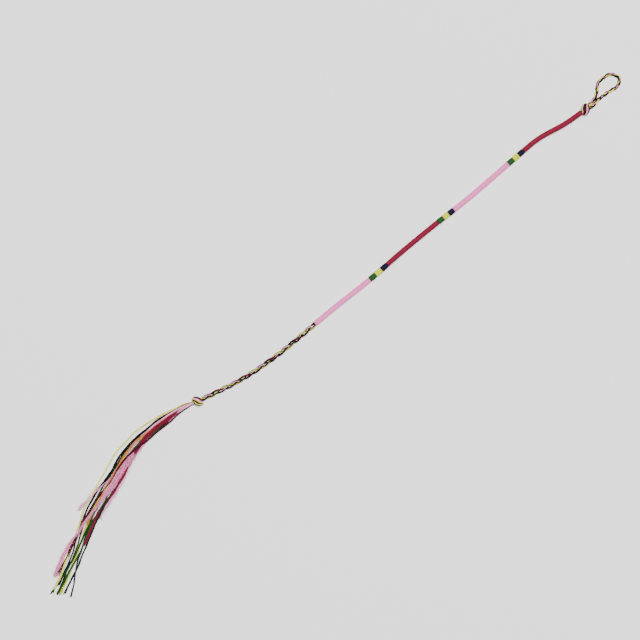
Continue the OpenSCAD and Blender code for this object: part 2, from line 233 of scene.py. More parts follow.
class BraceletSizes(PropertyGroup):
    """Sizes of the bracelet's pieces."""

    cord_diameter: in_mm("Cord", "Diameter of the long wound stretches", 2.7, 2, 4)
    band_diameter: in_mm("Bands", "Diameter of the narrow wound bands", 2.9, 2.2, 4.4)
    wrap_wall: in_mm("Winding", "Thickness of one layer of wound floss", 0.4, 0.3, 0.6)
    turn_pitch: in_mm("Turn", "Width of one turn of the wound floss", 0.62, 0.4, 1)
    crimson_1_length: in_mm("Crimson 1", "Length of the first crimson stretch", 34.5, 20, 60)
    pink_1_length: in_mm("Pink 1", "Length of the first pink stretch", 35, 20, 60)
    crimson_2_length: in_mm("Crimson 2", "Length of the second crimson stretch", 32.5, 20, 60)
    pink_2_length: in_mm("Pink 2", "Length of the second pink stretch", 34.5, 20, 60)
    band_1_width: in_mm("Bands 1", "Width of each band in the first group", 3.2, 2, 6)
    band_2_width: in_mm("Bands 2", "Width of each band in the second group", 3.2, 2, 6)
    band_3_width: in_mm("Bands 3", "Width of each band in the third group", 3.7, 2, 6)
    loop_length: in_mm("Loop length", "Length of the loop from its knot", 19.2, 16, 26)
    loop_width: in_mm("Loop width", "Width of the loop between its two sides", 8, 7.4, 12)
    loop_cord: in_mm("Loop cord", "Width of the braid that makes the loop", 1.5, 1, 1.8)
    loop_pitch: in_mm("Loop pitch", "Length of one round of the loop's braid", 9, 7, 14)
    braid_length: in_mm("Braid length", "Length of the loose braid", 66, 40, 100)
    braid_width: in_mm("Braid width", "Width of the loose braid", 2.7, 2, 3.4)
    braid_pitch: in_mm("Braid pitch", "Length of one round of the loose braid", 15, 11, 22)
    knot_length: in_mm("Knot length", "Length of each knot along the cord", 6, 5, 8)
    knot_width: in_mm("Knot width", "Width of each knot", 4.3, 3.8, 6)
    knot_height: in_mm("Knot height", "Height of each knot as it lies", 3.7, 3.2, 5)
    tassel_length: in_mm("Tassel", "Length of the longest thread", 123, 60, 180)
    tassel_spread: in_mm("Spread", "How far the threads spread to each side", 4, 3, 8)
    thread_diameter: in_mm("Thread", "Diameter of a loose thread of floss", 0.9, 0.7, 1.2)


class FlossColours(PropertyGroup):
    """Colours of the cotton floss."""

    crimson: dyed("Crimson", "The crimson windings", "#7a0f2d")
    pink: dyed("Pink", "The pink windings", "#fa78bf")
    navy: dyed("Navy", "The navy bands", "#10022a")
    yellow: dyed("Yellow", "The yellow bands", "#d3d61a")
    green: dyed("Green", "The green bands", "#184a1c")
    pine: dyed("Dark green", "Dark green threads", "#082b16")
    ink: dyed("Black", "Near black threads", "#050407")
    straw: dyed("Pale yellow", "Pale yellow threads", "#fdf56c")
    apricot: dyed("Apricot", "Pale orange threads", "#cf7c38")
    rose: dyed("Pale pink", "Pale pink threads", "#fba6d2")
    blush: dyed("Rose pink", "The pink thread that has come loose", "#ef8bb9")
    maroon: dyed("Maroon", "Dark red threads", "#44041c")


class StageSettings(PropertyGroup):
    """Camera, light and surface."""

    frame_width: FloatProperty(name="Frame width", description="Width that the picture takes in",
                               default=0.315, min=0.2, max=1, unit="LENGTH")
    lens: FloatProperty(name="Lens", description="Focal length in millimetres", default=100, min=35,
                        max=200, unit="CAMERA")
    key_energy: FloatProperty(name="Key light", description="Power of the lamp overhead", default=194, min=0,
                              max=1000, unit="POWER")
    sky: FloatProperty(name="Sky", description="Strength of the light from all round", default=0.15,
                       min=0, max=5)
    surface: FloatVectorProperty(name="Surface", description="Colour of the surface", size=3, min=0, max=1,
                                 default=linear_rgb("#fbfbfb"), subtype="COLOR")


def ease(x):
    """Goes smoothly from 0 to 1: three x squared less two x cubed, with x held between 0 and 1."""
    x = np.clip(x, 0, 1)
    return x * x * (3 - 2 * x)


def unit(vectors):
    """The same directions with length 1."""
    return vectors / np.linalg.norm(vectors, axis=-1, keepdims=True)


def cubic(a, b, c, d, t):
    """The Catmull-Rom cubic from b at t 0 to c at t 1: half of twice b, plus t times c less a, plus t squared
    times twice a less five b plus four c less d, plus t cubed times three b less a less three c plus d."""
    return 0.5 * (2 * b + (c - a) * t + (2 * a - 5 * b + 4 * c - d) * t ** 2
                  + (3 * b - a - 3 * c + d) * t ** 3)


def through(points, steps):
    """A smooth curve through points: the cubic between each two of them, cut into steps."""
    p = np.asarray(points, float)
    a, b, c, d = np.concatenate([p[:1], p[:-2]]), p[:-1], p[1:], np.concatenate([p[2:], p[-1:]])
    t = (np.arange(steps) / steps)[None, :, None]
    a, b, c, d = a[:, None], b[:, None], c[:, None], d[:, None]
    curve = cubic(a, b, c, d, t)
    return np.concatenate([curve.reshape(-1, p.shape[1]), p[-1:]])


def at_fifths(values, share):
    """The smooth curve through six values at equal steps, read at a share of the way from 0 to 1."""
    v = np.array([values[0], *values, values[-1]], float)
    u = np.clip(share * 5, 0, 4.999)
    i = np.floor(u).astype(int)
    return cubic(v[i], v[i + 1], v[i + 2], v[i + 3], u - i)


def wander(s, reach, seed):
    """A slow drift of up to about 1 either way: three sines, over reach and 0.61 and 0.37 of it, the second
    0.6 and the third 0.4 as high as the first, with phases from the seed, and their sum divided by 1.5."""
    phases = np.random.default_rng(seed).uniform(0, TURN, 3)
    waves = [np.sin(TURN * s / (reach * scale) + phase) for scale, phase in zip((1.0, 0.61, 0.37), phases)]
    return (waves[0] + 0.6 * waves[1] + 0.4 * waves[2]) / 1.5


def turned(points, degrees):
    """Plan points turned about the plan's zero."""
    a = math.radians(degrees)
    return points @ np.array([[math.cos(a), math.sin(a)], [-math.sin(a), math.cos(a)]])


def along(line):
    """Length along a line at each of its points."""
    steps = np.linalg.norm(np.diff(line, axis=-2), axis=-1)
    return np.concatenate([np.zeros(steps.shape[:-1] + (1,)), np.cumsum(steps, -1)], -1)


def read_at(s, runs, values):
    """Points or directions, given at the lengths runs, at lengths s."""
    return np.stack([np.interp(s, runs, column) for column in values.T], -1)


class Route:
    """A flat curve that is read by its length, carried straight on past both ends."""

    steps = 24

    def __init__(self, points):
        self.points = through(points, self.steps)
        self.runs = along(self.points)
        self.length = self.runs[-1]

    def at(self, s):
        """Points at lengths s."""
        s = np.asarray(s, float)
        held = np.clip(s, 0, self.length)
        on = read_at(held, self.runs, self.points)
        ends = unit(np.stack([self.points[1] - self.points[0], self.points[-1] - self.points[-2]]))
        beyond = (s - held)[..., None]
        return on + beyond * np.where(beyond < 0, ends[0], ends[1])

    def heading(self, s):
        """Directions at lengths s, taken over a millimetre."""
        return unit(self.at(np.asarray(s) + 0.5) - self.at(np.asarray(s) - 0.5))

    def side(self, s):
        """Directions to the left at lengths s."""
        h = self.heading(s)
        return np.stack([-h[..., 1], h[..., 0]], -1)


class Layout:
    """Where everything lies, worked out in millimetres from the sizes as the part's source does it."""

    def __init__(self, scene):
        lengths = {name: getattr(scene.bracelet_sizes, name) / MM for name in BraceletSizes.__annotations__}
        self.sizes = sizes = SimpleNamespace(**lengths)
        self.cord = Route(LIE)
        self.cord_z = max(sizes.cord_diameter, sizes.band_diameter) / 2
        self.knot_l = sizes.knot_length
        self.winding_start = self.knot_l + FIT_GAP
        self.winding_end = self.winding_start + sum(getattr(sizes, w[2]) + FIT_GAP for w in WINDINGS)
        self.braid_start = self.winding_end + SLANT_GAP
        self.tail_knot_start = self.braid_start + sizes.braid_length
        self.tassel_start = self.tail_knot_start + self.knot_l + FIT_GAP
        leg = sizes.loop_cord / 2 + FIT_GAP
        ahead, side = self.cord.heading(0.0), self.cord.side(0.0)
        self.rest = self.rested()
        shape = turned(np.array(LOOP_SHAPE) * [sizes.loop_length, sizes.loop_width], LOOP_TURN)
        legs = [-run * ahead - across * side
                for run, across in ((0, leg), (LEG_RUN, leg), (LEG_RUN, -leg), (0, -leg))]
        self.loop = Route(np.concatenate([legs[:2], shape, legs[2:]]))
        plan = [self.loop.at(np.linspace(0, self.loop.length, 21)),
                self.cord.at(np.linspace(0, self.tassel_start, 21))]
        plan += [self.tassel_line(i, 6.0)[:, :2] for i in range(len(TASSEL_THREADS))]
        flat = turned(np.concatenate(plan), -LIE_TURN)
        self.middle = (flat.min(0) + flat.max(0)) / 2

    def place(self, points):
        """Plan points as they lie in the row's frame, in metres."""
        flat = turned(points[..., :2], -LIE_TURN) - self.middle
        return np.concatenate([flat, points[..., 2:]], -1) * MM

    def braid_level(self, s):
        """Height of the loose braid's middle: down from the winding, along the surface, up to the knot."""
        low = BRAID_TALL * self.sizes.braid_width / 2
        down = self.cord_z + (low - self.cord_z) * ease((s - self.braid_start) / SETTLE)
        return down + (LEAVE_Z - down) * ease(1 - (self.tail_knot_start - s) / SETTLE)

    def loop_level(self, s):
        """Height of the loop's middle: down from the knot to the surface at both ends."""
        low = BRAID_TALL * self.sizes.loop_cord / 2
        return LEAVE_Z + (low - LEAVE_Z) * ease(np.minimum(s, self.loop.length - s) / SETTLE)

    def rested(self):
        """Height of each tassel thread's middle at every millimetre, never above its own layer: half a
        thread, or above the middle of one in a lower layer by a thread times the root of one less the square
        of how far apart they are, where touching counts as one. It is held past a crossing, then averaged."""
        diameter = self.sizes.thread_diameter
        length = self.sizes.tassel_length
        share = np.arange(0, length + 1) / length
        ends, widths, sides, layers = zip(*(thread[3:] for thread in TASSEL_THREADS))
        there = share <= np.array(ends)[:, None]
        half = diameter / 2 * np.stack([at_fifths(w, share) for w in widths])
        across = self.sizes.tassel_spread * np.stack([at_fifths(o, share) for o in sides])
        layer = np.stack([np.maximum(at_fifths((v[0],) + v, share), 0) for v in layers])
        apart = (across[:, None] - across) / (half[:, None] + half + RISE_GAP)
        on = (np.abs(apart) < 1) & there & (layer[:, None] - layer > SAME_LAYER)
        rise = diameter * np.sqrt(np.clip(1 - apart ** 2, 0, 1))
        height = np.full(across.shape, diameter / 2)
        for _ in range(STACK):
            lying = np.where(on, height + rise, diameter / 2).max(1)
            height = np.minimum(diameter / 2 + layer * (diameter + FIT_GAP), lying)
        held = np.pad(height, ((0, 0), (2 * HOLD, 2 * HOLD)), mode="edge")
        held = np.lib.stride_tricks.sliding_window_view(held, 2 * HOLD + 1, axis=1).max(-1)
        return np.lib.stride_tricks.sliding_window_view(held, 2 * HOLD + 1, axis=1).mean(-1)

    def tassel_line(self, i, step):
        """Centre of a tassel thread: the cord's route moved to the side by its table, from the head down."""
        _, row, place, share, _, sides, _ = TASSEL_THREADS[i]
        length = share * self.sizes.tassel_length
        s = np.linspace(0, length, int(math.ceil(length / step)) + 1)
        head_r = self.sizes.braid_width / 2
        pitch = HEAD_STEP * head_r
        apart = ease((s - HEAD / 2) / SPREAD_OVER)
        down = ease((s - HEAD / 2) / TASSEL_SETTLE)
        gathered = GATHERED + (1 - GATHERED) * ease(s / HEAD)
        offset = (place - (ROW_LENGTHS[row] - 1) / 2) * pitch * gathered * (1 - apart)
        side = at_fifths(sides, s / self.sizes.tassel_length)
        offset = offset + self.sizes.tassel_spread * side * apart
        low = np.interp(s, np.arange(self.rest.shape[1]), self.rest[i])
        leave = max(LEAVE_Z, head_r) + (row - 1) * pitch * HEAD_ROW * gathered
        height = leave * (1 - down) + low * down
        start = self.tassel_start + s
        flat = self.cord.at(start) + offset[:, None] * self.cord.side(start)
        return np.concatenate([flat, height[:, None]], 1)


def tangent_of(line):
    """A line's direction at each of its points."""
    return unit(np.gradient(line, axis=-2))


def stand_off(line, side, rise, across, up, lowest):
    """A line moved to the side and upwards at each point, but nowhere lower than lowest."""
    moved = line + across[..., None] * side + up[..., None] * rise
    moved[..., 2] = np.maximum(moved[..., 2], lowest)
    return moved


def square_to(line, up):
    """Two directions square to a line: the side is up crossed with the line's direction, the rise that
    direction crossed with the side."""
    tangent = tangent_of(line)
    side = unit(np.cross(np.broadcast_to(up, tangent.shape), tangent))
    return side, np.cross(tangent, side)


def carried_up(line):
    """A direction square to a line at each point that turns with it and no further, upright in its middle:
    each is the one before it less its part along the line."""
    tangent = tangent_of(line)
    ups = np.zeros_like(line)
    middle = len(line) // 2
    for step, stop in ((1, len(line)), (-1, -1)):
        up = np.array(UP)
        for i in range(middle, stop, step):
            up = unit(up - tangent[i] * (tangent[i] @ up))
            ups[i] = up
    return ups


class Threads:
    """Gathers grids of rings, in some floss colours, into one mesh. A tube is closed by a fan to a pole at
    each end, and the last ring of a sleeve joins its first."""

    def __init__(self, colours):
        self.colours = sorted(set(colours))
        self.points, self.faces, self.corners = [], [], []
        self.materials, self.fibre, self.ridge = [], [], []
        self.count = 0

    def add(self, rings, fibre, ridge, colour=None, poles=None):
        """Adds tubes, as rings (tube, ring, side, axis) with poles (tube, end, axis), or sleeves without, in
        the first colour if none is named."""
        tubes, n, m = rings.shape[:3]
        k = np.arange(m)
        after = (k + 1) % m
        rows = np.arange(n if poles is None else n - 1)[:, None]
        below, above = rows * m, (rows + 1) % n * m
        each = n * m + (0 if poles is None else 2)
        first = self.count + each * np.arange(tubes)[:, None, None]
        quads = np.stack([below + k, below + after, above + after, above + k], -1)
        quads = quads.reshape(1, -1, 4) + first
        points, fibres, ridges = (a.reshape(tubes, n * m, -1) for a in (rings, fibre, ridge))
        faces, corners = [quads.ravel()], [np.full(quads.size // 4, 4)]
        if poles is not None:
            top = (n - 1) * m
            fans = np.concatenate([np.stack([np.full(m, n * m), after, k], -1),
                                   np.stack([np.full(m, n * m + 1), top + k, top + after], -1)])
            fans = fans[None] + first
            faces.append(fans.ravel())
            corners.append(np.full(fans.size // 3, 3))
            points = np.concatenate([points, poles], 1)
            fibres = np.concatenate([fibres, fibres[:, :1], fibres[:, -1:]], 1)
            ridges = np.concatenate([ridges, np.full((tubes, 2, 1), 0.5)], 1)
        self.faces += faces
        self.corners += corners
        self.points.append(points.reshape(-1, 3))
        self.fibre.append(fibres.reshape(-1, 3))
        self.ridge.append(ridges.ravel())
        slot = self.colours.index(colour) if colour else 0
        self.materials.append(np.full(sum(len(c) for c in corners), slot))
        self.count += tubes * each

    def build(self, name, layout):
        """The mesh object, placed in the row's frame, with its fibre and ridge attributes. What would go
        below the surface lies flat on it."""
        points = layout.place(np.concatenate(self.points))
        points[:, 2] = np.maximum(points[:, 2], 0)
        faces, corners = np.concatenate(self.faces), np.concatenate(self.corners)
        mesh = bpy.data.meshes.new(name)
        mesh.vertices.add(len(points))
        mesh.vertices.foreach_set("co", points.ravel())
        mesh.loops.add(len(faces))
        mesh.loops.foreach_set("vertex_index", faces.astype(np.int32))
        mesh.polygons.add(len(corners))
        starts = np.concatenate([[0], np.cumsum(corners)[:-1]])
        mesh.polygons.foreach_set("loop_start", starts.astype(np.int32))
        mesh.polygons.foreach_set("material_index", np.concatenate(self.materials).astype(np.int32))
        mesh.polygons.foreach_set("use_smooth", np.ones(len(corners), bool))
        mesh.update(calc_edges=True)
        fibre = mesh.attributes.new("fibre", "FLOAT_VECTOR", "POINT")
        fibre.data.foreach_set("vector", np.concatenate(self.fibre).astype(np.float32).ravel())
        ridge = mesh.attributes.new("ridge", "FLOAT", "POINT")
        ridge.data.foreach_set("value", np.concatenate(self.ridge).astype(np.float32))
        for colour in self.colours:
            mesh.materials.append(floss(colour))
        piece = bpy.data.objects.new(name, mesh)
        bpy.context.scene.collection.objects.link(piece)
        return piece


def add_tubes(threads, centre, radius, colour=None, sides=10, plies=6, relief=0.05, lay=3.0, phase=0.0,
              up=UP):
    """Twisted threads along centre lines (tube, point, axis): round each point a ring whose radius swells at
    each ply, one plus relief times the cosine of plies times the angle less the twist, which makes one turn
    in each length lay."""
    tangent = tangent_of(centre)
    side, rise = square_to(centre, up)
    s = along(centre)[..., None]
    phase = np.reshape(phase, (-1, 1, 1))
    radius = np.broadcast_to(radius, centre.shape[:2])[..., None]
    angle = TURN * np.arange(sides) / sides
    spun = angle - TURN * s / lay - phase
    ridge = np.cos(plies * spun)
    reach = radius * (1 + relief * ridge)
    rings = (centre[:, :, None] + (reach * np.cos(angle))[..., None] * side[:, :, None]
             + (reach * np.sin(angle))[..., None] * rise[:, :, None])
    run = np.broadcast_to(s * FIBRE_ALONG + phase * FIBRE_SHIFT, spun.shape)
    fibre = np.stack([np.cos(spun) * FIBRE_ROUND, np.sin(spun) * FIBRE_ROUND, run], -1)
    ends = np.stack([centre[:, 0] - tangent[:, 0] * radius[:, 0] * END_BULGE,
                     centre[:, -1] + tangent[:, -1] * radius[:, -1] * END_BULGE], 1)
    # The ridge attribute is low between plies, where the floss material paints shade
    threads.add(rings, fibre, 0.5 + 0.5 * ridge, colour, ends)


def add_floss(threads, line, side, width, thick, seed, frayed, plies=6, round_l=16, drift=0.05, drift_l=19,
              free_l=25, spread=0.8, spread_l=4):
    """A loose thread: its plies run round its middle on a slow helix, to the side by the cosine of their turn
    and upwards by the sine, drift more and more over the length free_l, spread over the last length
    spread_l, and end at slightly different lengths."""
    draw = np.random.default_rng(seed)
    ply_r = thick * 0.4
    runs = along(line)
    s = np.linspace(0, 1, len(line))[None] * (runs[-1] - frayed * draw.uniform(0, 1, (plies, 1)))
    middle, across = read_at(s, runs, line), read_at(s, runs, side)
    wide = np.interp(s, runs, width) + spread * ease((s - runs[-1] + spread_l) / spread_l)
    turn = TURN * (s / round_l + np.arange(plies)[:, None] / plies) + seed
    drifts = np.stack([wander(s[i], drift_l, seed * 50 + i) for i in range(plies)])
    reach = thick - ply_r
    shift = reach * wide * np.cos(turn) + drift * drifts * wide * ease(s / free_l)
    lift = reach * np.sin(turn) / np.maximum(wide, 1)
    centre = middle + np.concatenate([shift[..., None] * across, lift[..., None]], -1)
    centre[..., 2] = np.maximum(centre[..., 2], ply_r)
    add_tubes(threads, centre, ply_r, sides=6, plies=2, lay=2.6, phase=seed + np.arange(plies) * 1.7)


def add_loosened(threads, line, side, width, thick, seed, frayed, count=26, bundle_r=0.10, lowest=0.08,
                 uneven=0.06, waver=0.14, waver_l=15, waver_up=0.05, deep=0.35, least=0.1):
    """A thread that has come loose: many fine bundles of fibres side by side, each at its own share of the
    width and of its own length, wavering more and more over the length waver_l. Their height goes with the
    root of one less that share squared, but never of less than least."""
    draw = np.random.default_rng(seed)
    runs = along(line)
    s = np.linspace(0, 1, len(line))[None] * (runs[-1] - frayed * draw.uniform(0, 1, (count, 1)) ** 2)
    middle, across = read_at(s, runs, line), read_at(s, runs, side)
    wide = np.interp(s, runs, width)
    share = np.linspace(-1, 1, count)[draw.permutation(count)][:, None] + draw.normal(0, uneven, (count, 1))
    wavers = np.stack([wander(s[i], waver_l, seed * 70 + i) for i in range(count)])
    shift = thick * wide * (share + waver * wavers * ease(s / waver_l))
    arch = np.sqrt(np.clip(1 - share ** 2, least, 1))
    lift = thick * ((0.5 + deep * draw.uniform(-1, 1, (count, 1))) * arch - 0.5)
    # Each bundle wavers upwards as one a few places from it wavers to the side
    lift = lift + waver_up * np.roll(wavers, 3, 0)
    centre = middle + np.concatenate([shift[..., None] * across, lift[..., None]], -1)
    centre[..., 2] = np.maximum(centre[..., 2], lowest)
    add_tubes(threads, centre, bundle_r, sides=5, plies=2, lay=3.1, phase=draw.uniform(0, 6, count))


def add_haze(threads, line, side, width, first, last, count, seed, shortest=1.2, longest=4.5, slant=0.22,
             bend=0.55, wave=0.12, fibre_r=0.02, lowest=0.05, highest=1.3):
    """Loosened fibres: short fine tubes that start beside a thread and leave it at a small angle, curving by
    the square of the way along them and waving by a sine of it, at heights from 0.3 of the thread's to
    highest times it. At 0.04 mm they are drawn coarser than cotton's own fibres."""
    draw = np.random.default_rng(seed)
    s = draw.uniform(first, last, (count, 1))
    u = np.linspace(0, 1, 7)[None]
    run = draw.uniform(shortest, longest, (count, 1)) * u
    runs = along(line)
    here = np.clip(s + run, 0, runs[-1] + 2)
    middle, across = read_at(here, runs, line), read_at(here, runs, side)
    wide = np.interp(s, runs, width)
    shift = draw.uniform(-0.5, 0.5, (count, 1)) * wide + draw.normal(0, slant, (count, 1)) * run
    shift = shift + draw.normal(0, bend, (count, 1)) * u ** 2
    shift = shift + draw.normal(0, wave, (count, 1)) * np.sin(6 * u)
    middle[..., :2] += shift[..., None] * across
    middle[..., 2] = np.maximum(middle[..., 2] * draw.uniform(0.3, highest, (count, 1)), lowest)
    add_tubes(threads, middle, fibre_r, sides=3, plies=1, relief=0, lay=50, phase=draw.uniform(0, 6, count))


def add_winding(threads, layout, start, length, outer, inner, pitch, seed, sides=36, per_turn=8, groove=0.15,
                sharp=0.7, drawn=0.55):
    """A wound sleeve: outside a helix of floss, whose radius falls between turns by one less the sine of pi
    times the turn, to the power sharp, inside plain. Both ends draw in over about half a turn."""
    relief = groove * pitch
    count = int(math.ceil(length / pitch * per_turn))
    s = np.linspace(0, length, count + 1)[:, None]
    back = np.linspace(length, 0, 14)
    angle = TURN * np.arange(sides) / sides
    # Turns stray by up to a tenth of one over 9 mm, and by half that over a few turns
    uneven = 0.10 * wander(s, 9, seed) + 0.05 * wander(s, 2.3, seed + 1)
    turn = s / pitch - angle / TURN + uneven
    swell = np.abs(np.sin(math.pi * turn)) ** sharp
    draw_in = 1 - ease(np.minimum(s, length - s) / (drawn * pitch))
    # Grooves differ in depth by two sines of the turn's number, and the whole winding swells by about 0.01 mm
    whole = np.floor(turn)
    deeper = 0.25 * np.sin(whole * 2.399 + seed) + 0.2 * np.sin(whole * 0.77 + seed * 3)
    reach = outer - relief * (1 - swell) * (1 + 0.6 * deeper) - (outer - inner) * drawn * draw_in ** 2
    reach = reach + 0.012 * wander(s + angle * 0.3, 5, seed + 2)
    radii = np.concatenate([reach, np.full((len(back), sides), inner)])
    stations = np.concatenate([s[:, 0], back])
    flat, side = layout.cord.at(start + stations), layout.cord.side(start + stations)
    rings = np.empty((len(stations), sides, 3))
    rings[..., :2] = flat[:, None] + (radii * np.cos(angle))[..., None] * side[:, None]
    rings[..., 2] = layout.cord_z - radii * np.sin(angle)
    across = np.concatenate([turn, np.broadcast_to(back[:, None] / pitch, (len(back), sides))])
    round_it = WOUND_ROUND * np.stack([np.cos(angle), np.sin(angle)], -1)
    round_it = np.broadcast_to(round_it, across.shape + (2,))
    fibre = np.concatenate([round_it, across[..., None] * WOUND_TURN], -1)
    # The ridge attribute is low between turns and nought on the plain inside, where the floss material paints
    # shade
    ridge = np.concatenate([swell, np.zeros((len(back), sides))])
    threads.add(rings[None], fibre[None], ridge[None])


def add_strand(threads, line, colours, ring_r, thread_r, round_l, phase, seed, lead=0.25, lead_l=11,
               swell=0.12, swell_l=7, **shape):
    """A strand of several threads: each runs round the strand's middle on a slow helix of radius ring_r, one
    turn in each length round_l, straying by about lead in angle and by the share swell in radius."""
    side, rise = square_to(line, UP)
    s = along(line)
    s = s - s[-1] / 2
    for i, colour in enumerate(colours):
        turn = TURN * s / round_l + phase + TURN * i / len(colours) + lead * wander(s, lead_l, seed + i)
        reach = ring_r * (1 + swell * wander(s, swell_l, seed + 20 + i))
        centre = stand_off(line, side, rise, reach * np.cos(turn), reach * np.sin(turn), thread_r)
        add_tubes(threads, centre[None], thread_r, colour, phase=seed + i, up=rise, **shape)


def braid_line(route, start, end, pitch, width, phase, level, step=0.3, ends=0.5, ends_l=3, close=1.0):
    """Middle of one strand of a flat braid: to the side by the sine of its turn, up by the sine of twice its
    turn, both drawn in where the braid leaves a knot or the winding."""
    s = np.linspace(start, end, int(math.ceil((end - start) / step)) + 1)
    a = TURN * (s - start) / pitch + math.radians(phase)
    open_up = ends + (1 - ends) * ease(np.minimum(s - start, end - s) / ends_l)
    swing = (width - STRAND_WIDE * width) / 2 * close * open_up * np.sin(a)
    flat = route.at(s) + swing[:, None] * route.side(s)
    return np.concatenate([flat, (level(s) + STRAND_RISE * width * open_up * np.sin(2 * a))[:, None]], 1)


def overhand_line(layout, start, hand, shift):
    """Middle of the band of threads in an overhand knot: a smooth curve through KNOT_PATH, scaled to the
    knot's size less the band's own, with its lowest turn on the surface. A hand of -1 mirrors it."""
    half = np.array(KNOT_PATH)
    path = through(np.concatenate([half[:0:-1] * [-1, 1, -1], half]), 12)
    sizes = layout.sizes
    scale = [sizes.knot_length * PATH_UNIT, (sizes.knot_height - 2 * KNOT_BAND_THICK) / PATH_TALL,
             hand * (sizes.knot_width - 2 * KNOT_BAND_THICK) / PATH_WIDE]
    path = path * scale
    middle = start + layout.knot_l / 2 + shift
    flat = (layout.cord.at(middle) + path[:, :1] * layout.cord.heading(middle)
            + path[:, 2:] * layout.cord.side(middle))
    return np.concatenate([flat, KNOT_BAND_THICK + path[:, 1:2].max() - path[:, 1:2]], 1)


def add_knot(threads, line, colours, bundle_r=0.55, gather_from=3.2, gather_l=3.0, pinch_by=0.36,
             pinch_l=2.2, stray=0.07, stray_up=0.05):
    """The band of threads along a knot's path, over a plain bundle: each stands off to the side by its share
    of the band's width and upwards by one less that share squared, straying a little, and eases into its
    place on a ring from gather_from on. The band narrows by pinch_by away from its middle."""
    up = carried_up(line)
    side, rise = square_to(line, up)
    s = along(line)
    s = s - s[-1] / 2
    gather = ease((np.abs(s) - gather_from) / gather_l)
    pinch = 1 - pinch_by * ease(np.abs(s) / pinch_l)
    within = slice(6, -6)
    add_tubes(threads, line[None, within], bundle_r, "ink", plies=4, up=up[within])
    for i, colour in enumerate(colours):
        share = 2 * (i + 0.5) / len(colours) - 1
        round_it = TURN / 4 * (1 - share)
        wide = share * KNOT_BAND_WIDE * pinch * (1 - gather) + KNOT_RING * math.cos(round_it) * gather
        thick = KNOT_BAND_ARCH * (1 - share * share) * (1 - gather) + KNOT_RING * math.sin(round_it) * gather
        wide = wide + stray * wander(s, 6, 700 + i)
        thick = thick + stray_up * wander(s, 5, 730 + i)
        centre = stand_off(line, side, rise, wide, thick, KNOT_THREAD)
        add_tubes(threads, centre[None], KNOT_THREAD, colour, sides=12, lay=6.0, phase=i * 1.3, up=rise)


def resample(line, step):
    """The same curve with points at equal lengths."""
    runs = along(line)
    return read_at(np.linspace(0, runs[-1], int(math.ceil(runs[-1] / step)) + 1), runs, line)


def add_node(tree, kind, links=(), **settings):
    """Adds a shader node, sets its properties and inputs, and makes its links: (input, node, output)."""
    node = tree.nodes.new("ShaderNode" + kind)
    for key, value in settings.items():
        if hasattr(node, key):
            setattr(node, key, value)
        else:
            node.inputs[key.replace("_", " ")].default_value = value
    for socket, source, output in links:
        tree.links.new(source.outputs[output], node.inputs[socket])
    return node


def floss(colour_name):
    """Mercerised cotton floss, spun and dyed: silky along the fibres, with fine lines of darker and richer
    colour between them, a little uneven in dye, and darker in the grooves between plies and turns, where
    little light gets in."""
    name = f"Cotton floss {colour_name}"
    if name in bpy.data.materials:
        return bpy.data.materials[name]
    colour = np.array(getattr(bpy.context.scene.floss_colours, colour_name))
    shade, light = colour * GROOVE_SHADE, np.clip(colour * 1.12 + 0.003, 0, 1)
    material = bpy.data.materials.new(name)
    material.use_nodes = True
    material.diffuse_color = (*colour, 1)
    tree = material.node_tree
    tree.nodes.clear()
    fibre = add_node(tree, "Attribute", attribute_name="fibre")
    ridge = add_node(tree, "Attribute", attribute_name="ridge")
    # Fine: the fibres, long and narrow along the thread, about 0.05 mm across and 1 mm long. Cotton's own are
    # 0.02 mm, so they are drawn coarser. Slow: where the dye took more or less, over 4 to 8 mm of thread.
    fine = add_node(tree, "TexNoise", [("Vector", fibre, "Vector")], Scale=3.2, Detail=3.0,
                    Roughness=0.6)
    slow = add_node(tree, "TexNoise", [("Vector", fibre, "Vector")], Scale=0.35, Detail=1.0)
    streaks = add_node(tree, "MapRange", [("Value", fine, "Fac")], From_Min=0.3, From_Max=0.7)
    dye = add_node(tree, "Mix", [("Factor", streaks, "Result")], data_type="RGBA")
    dye.inputs[6].default_value = (*colour * 0.88, 1)
    dye.inputs[7].default_value = (*light, 1)
    uneven = add_node(tree, "MapRange", [("Value", slow, "Fac")], From_Min=0.3, From_Max=0.7,
                      To_Min=0.86, To_Max=1.08)
    # Painted shade: where the ridge attribute is low, in the grooves between plies and turns and on the plain
    # inside of the windings, the colour is darkened towards GROOVE_SHADE of itself
    grooves = add_node(tree, "MapRange", [("Value", ridge, "Fac")], From_Max=0.6)
    shaded = add_node(tree, "Mix", [("Factor", grooves, "Result"), (7, dye, 2)], data_type="RGBA")
    shaded.inputs[6].default_value = (*shade, 1)
    tone = add_node(tree, "HueSaturation", [("Color", shaded, 2), ("Value", uneven, "Result")])
    bump = add_node(tree, "Bump", [("Height", fine, "Fac")], Strength=0.35, Distance=0.00006)
    shader = add_node(tree, "BsdfPrincipled", [("Base Color", tone, "Color"), ("Normal", bump, "Normal")],
                      Roughness=0.5)
    shader.inputs["IOR"].default_value = 1.5
    shader.inputs["Specular IOR Level"].default_value = 0.1
    shader.inputs["Sheen Weight"].default_value = 0.02
    shader.inputs["Sheen Roughness"].default_value = 0.4
    shader.inputs["Sheen Tint"].default_value = (*light, 1)
    add_node(tree, "OutputMaterial", [("Surface", shader, "BSDF")])
    return material


def finish_piece(threads, name, layout, node):
    """Makes the gathered threads one piece in place of a CAD node."""
    piece = threads.build(name, layout)
    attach(piece, "root")
    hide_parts(node)


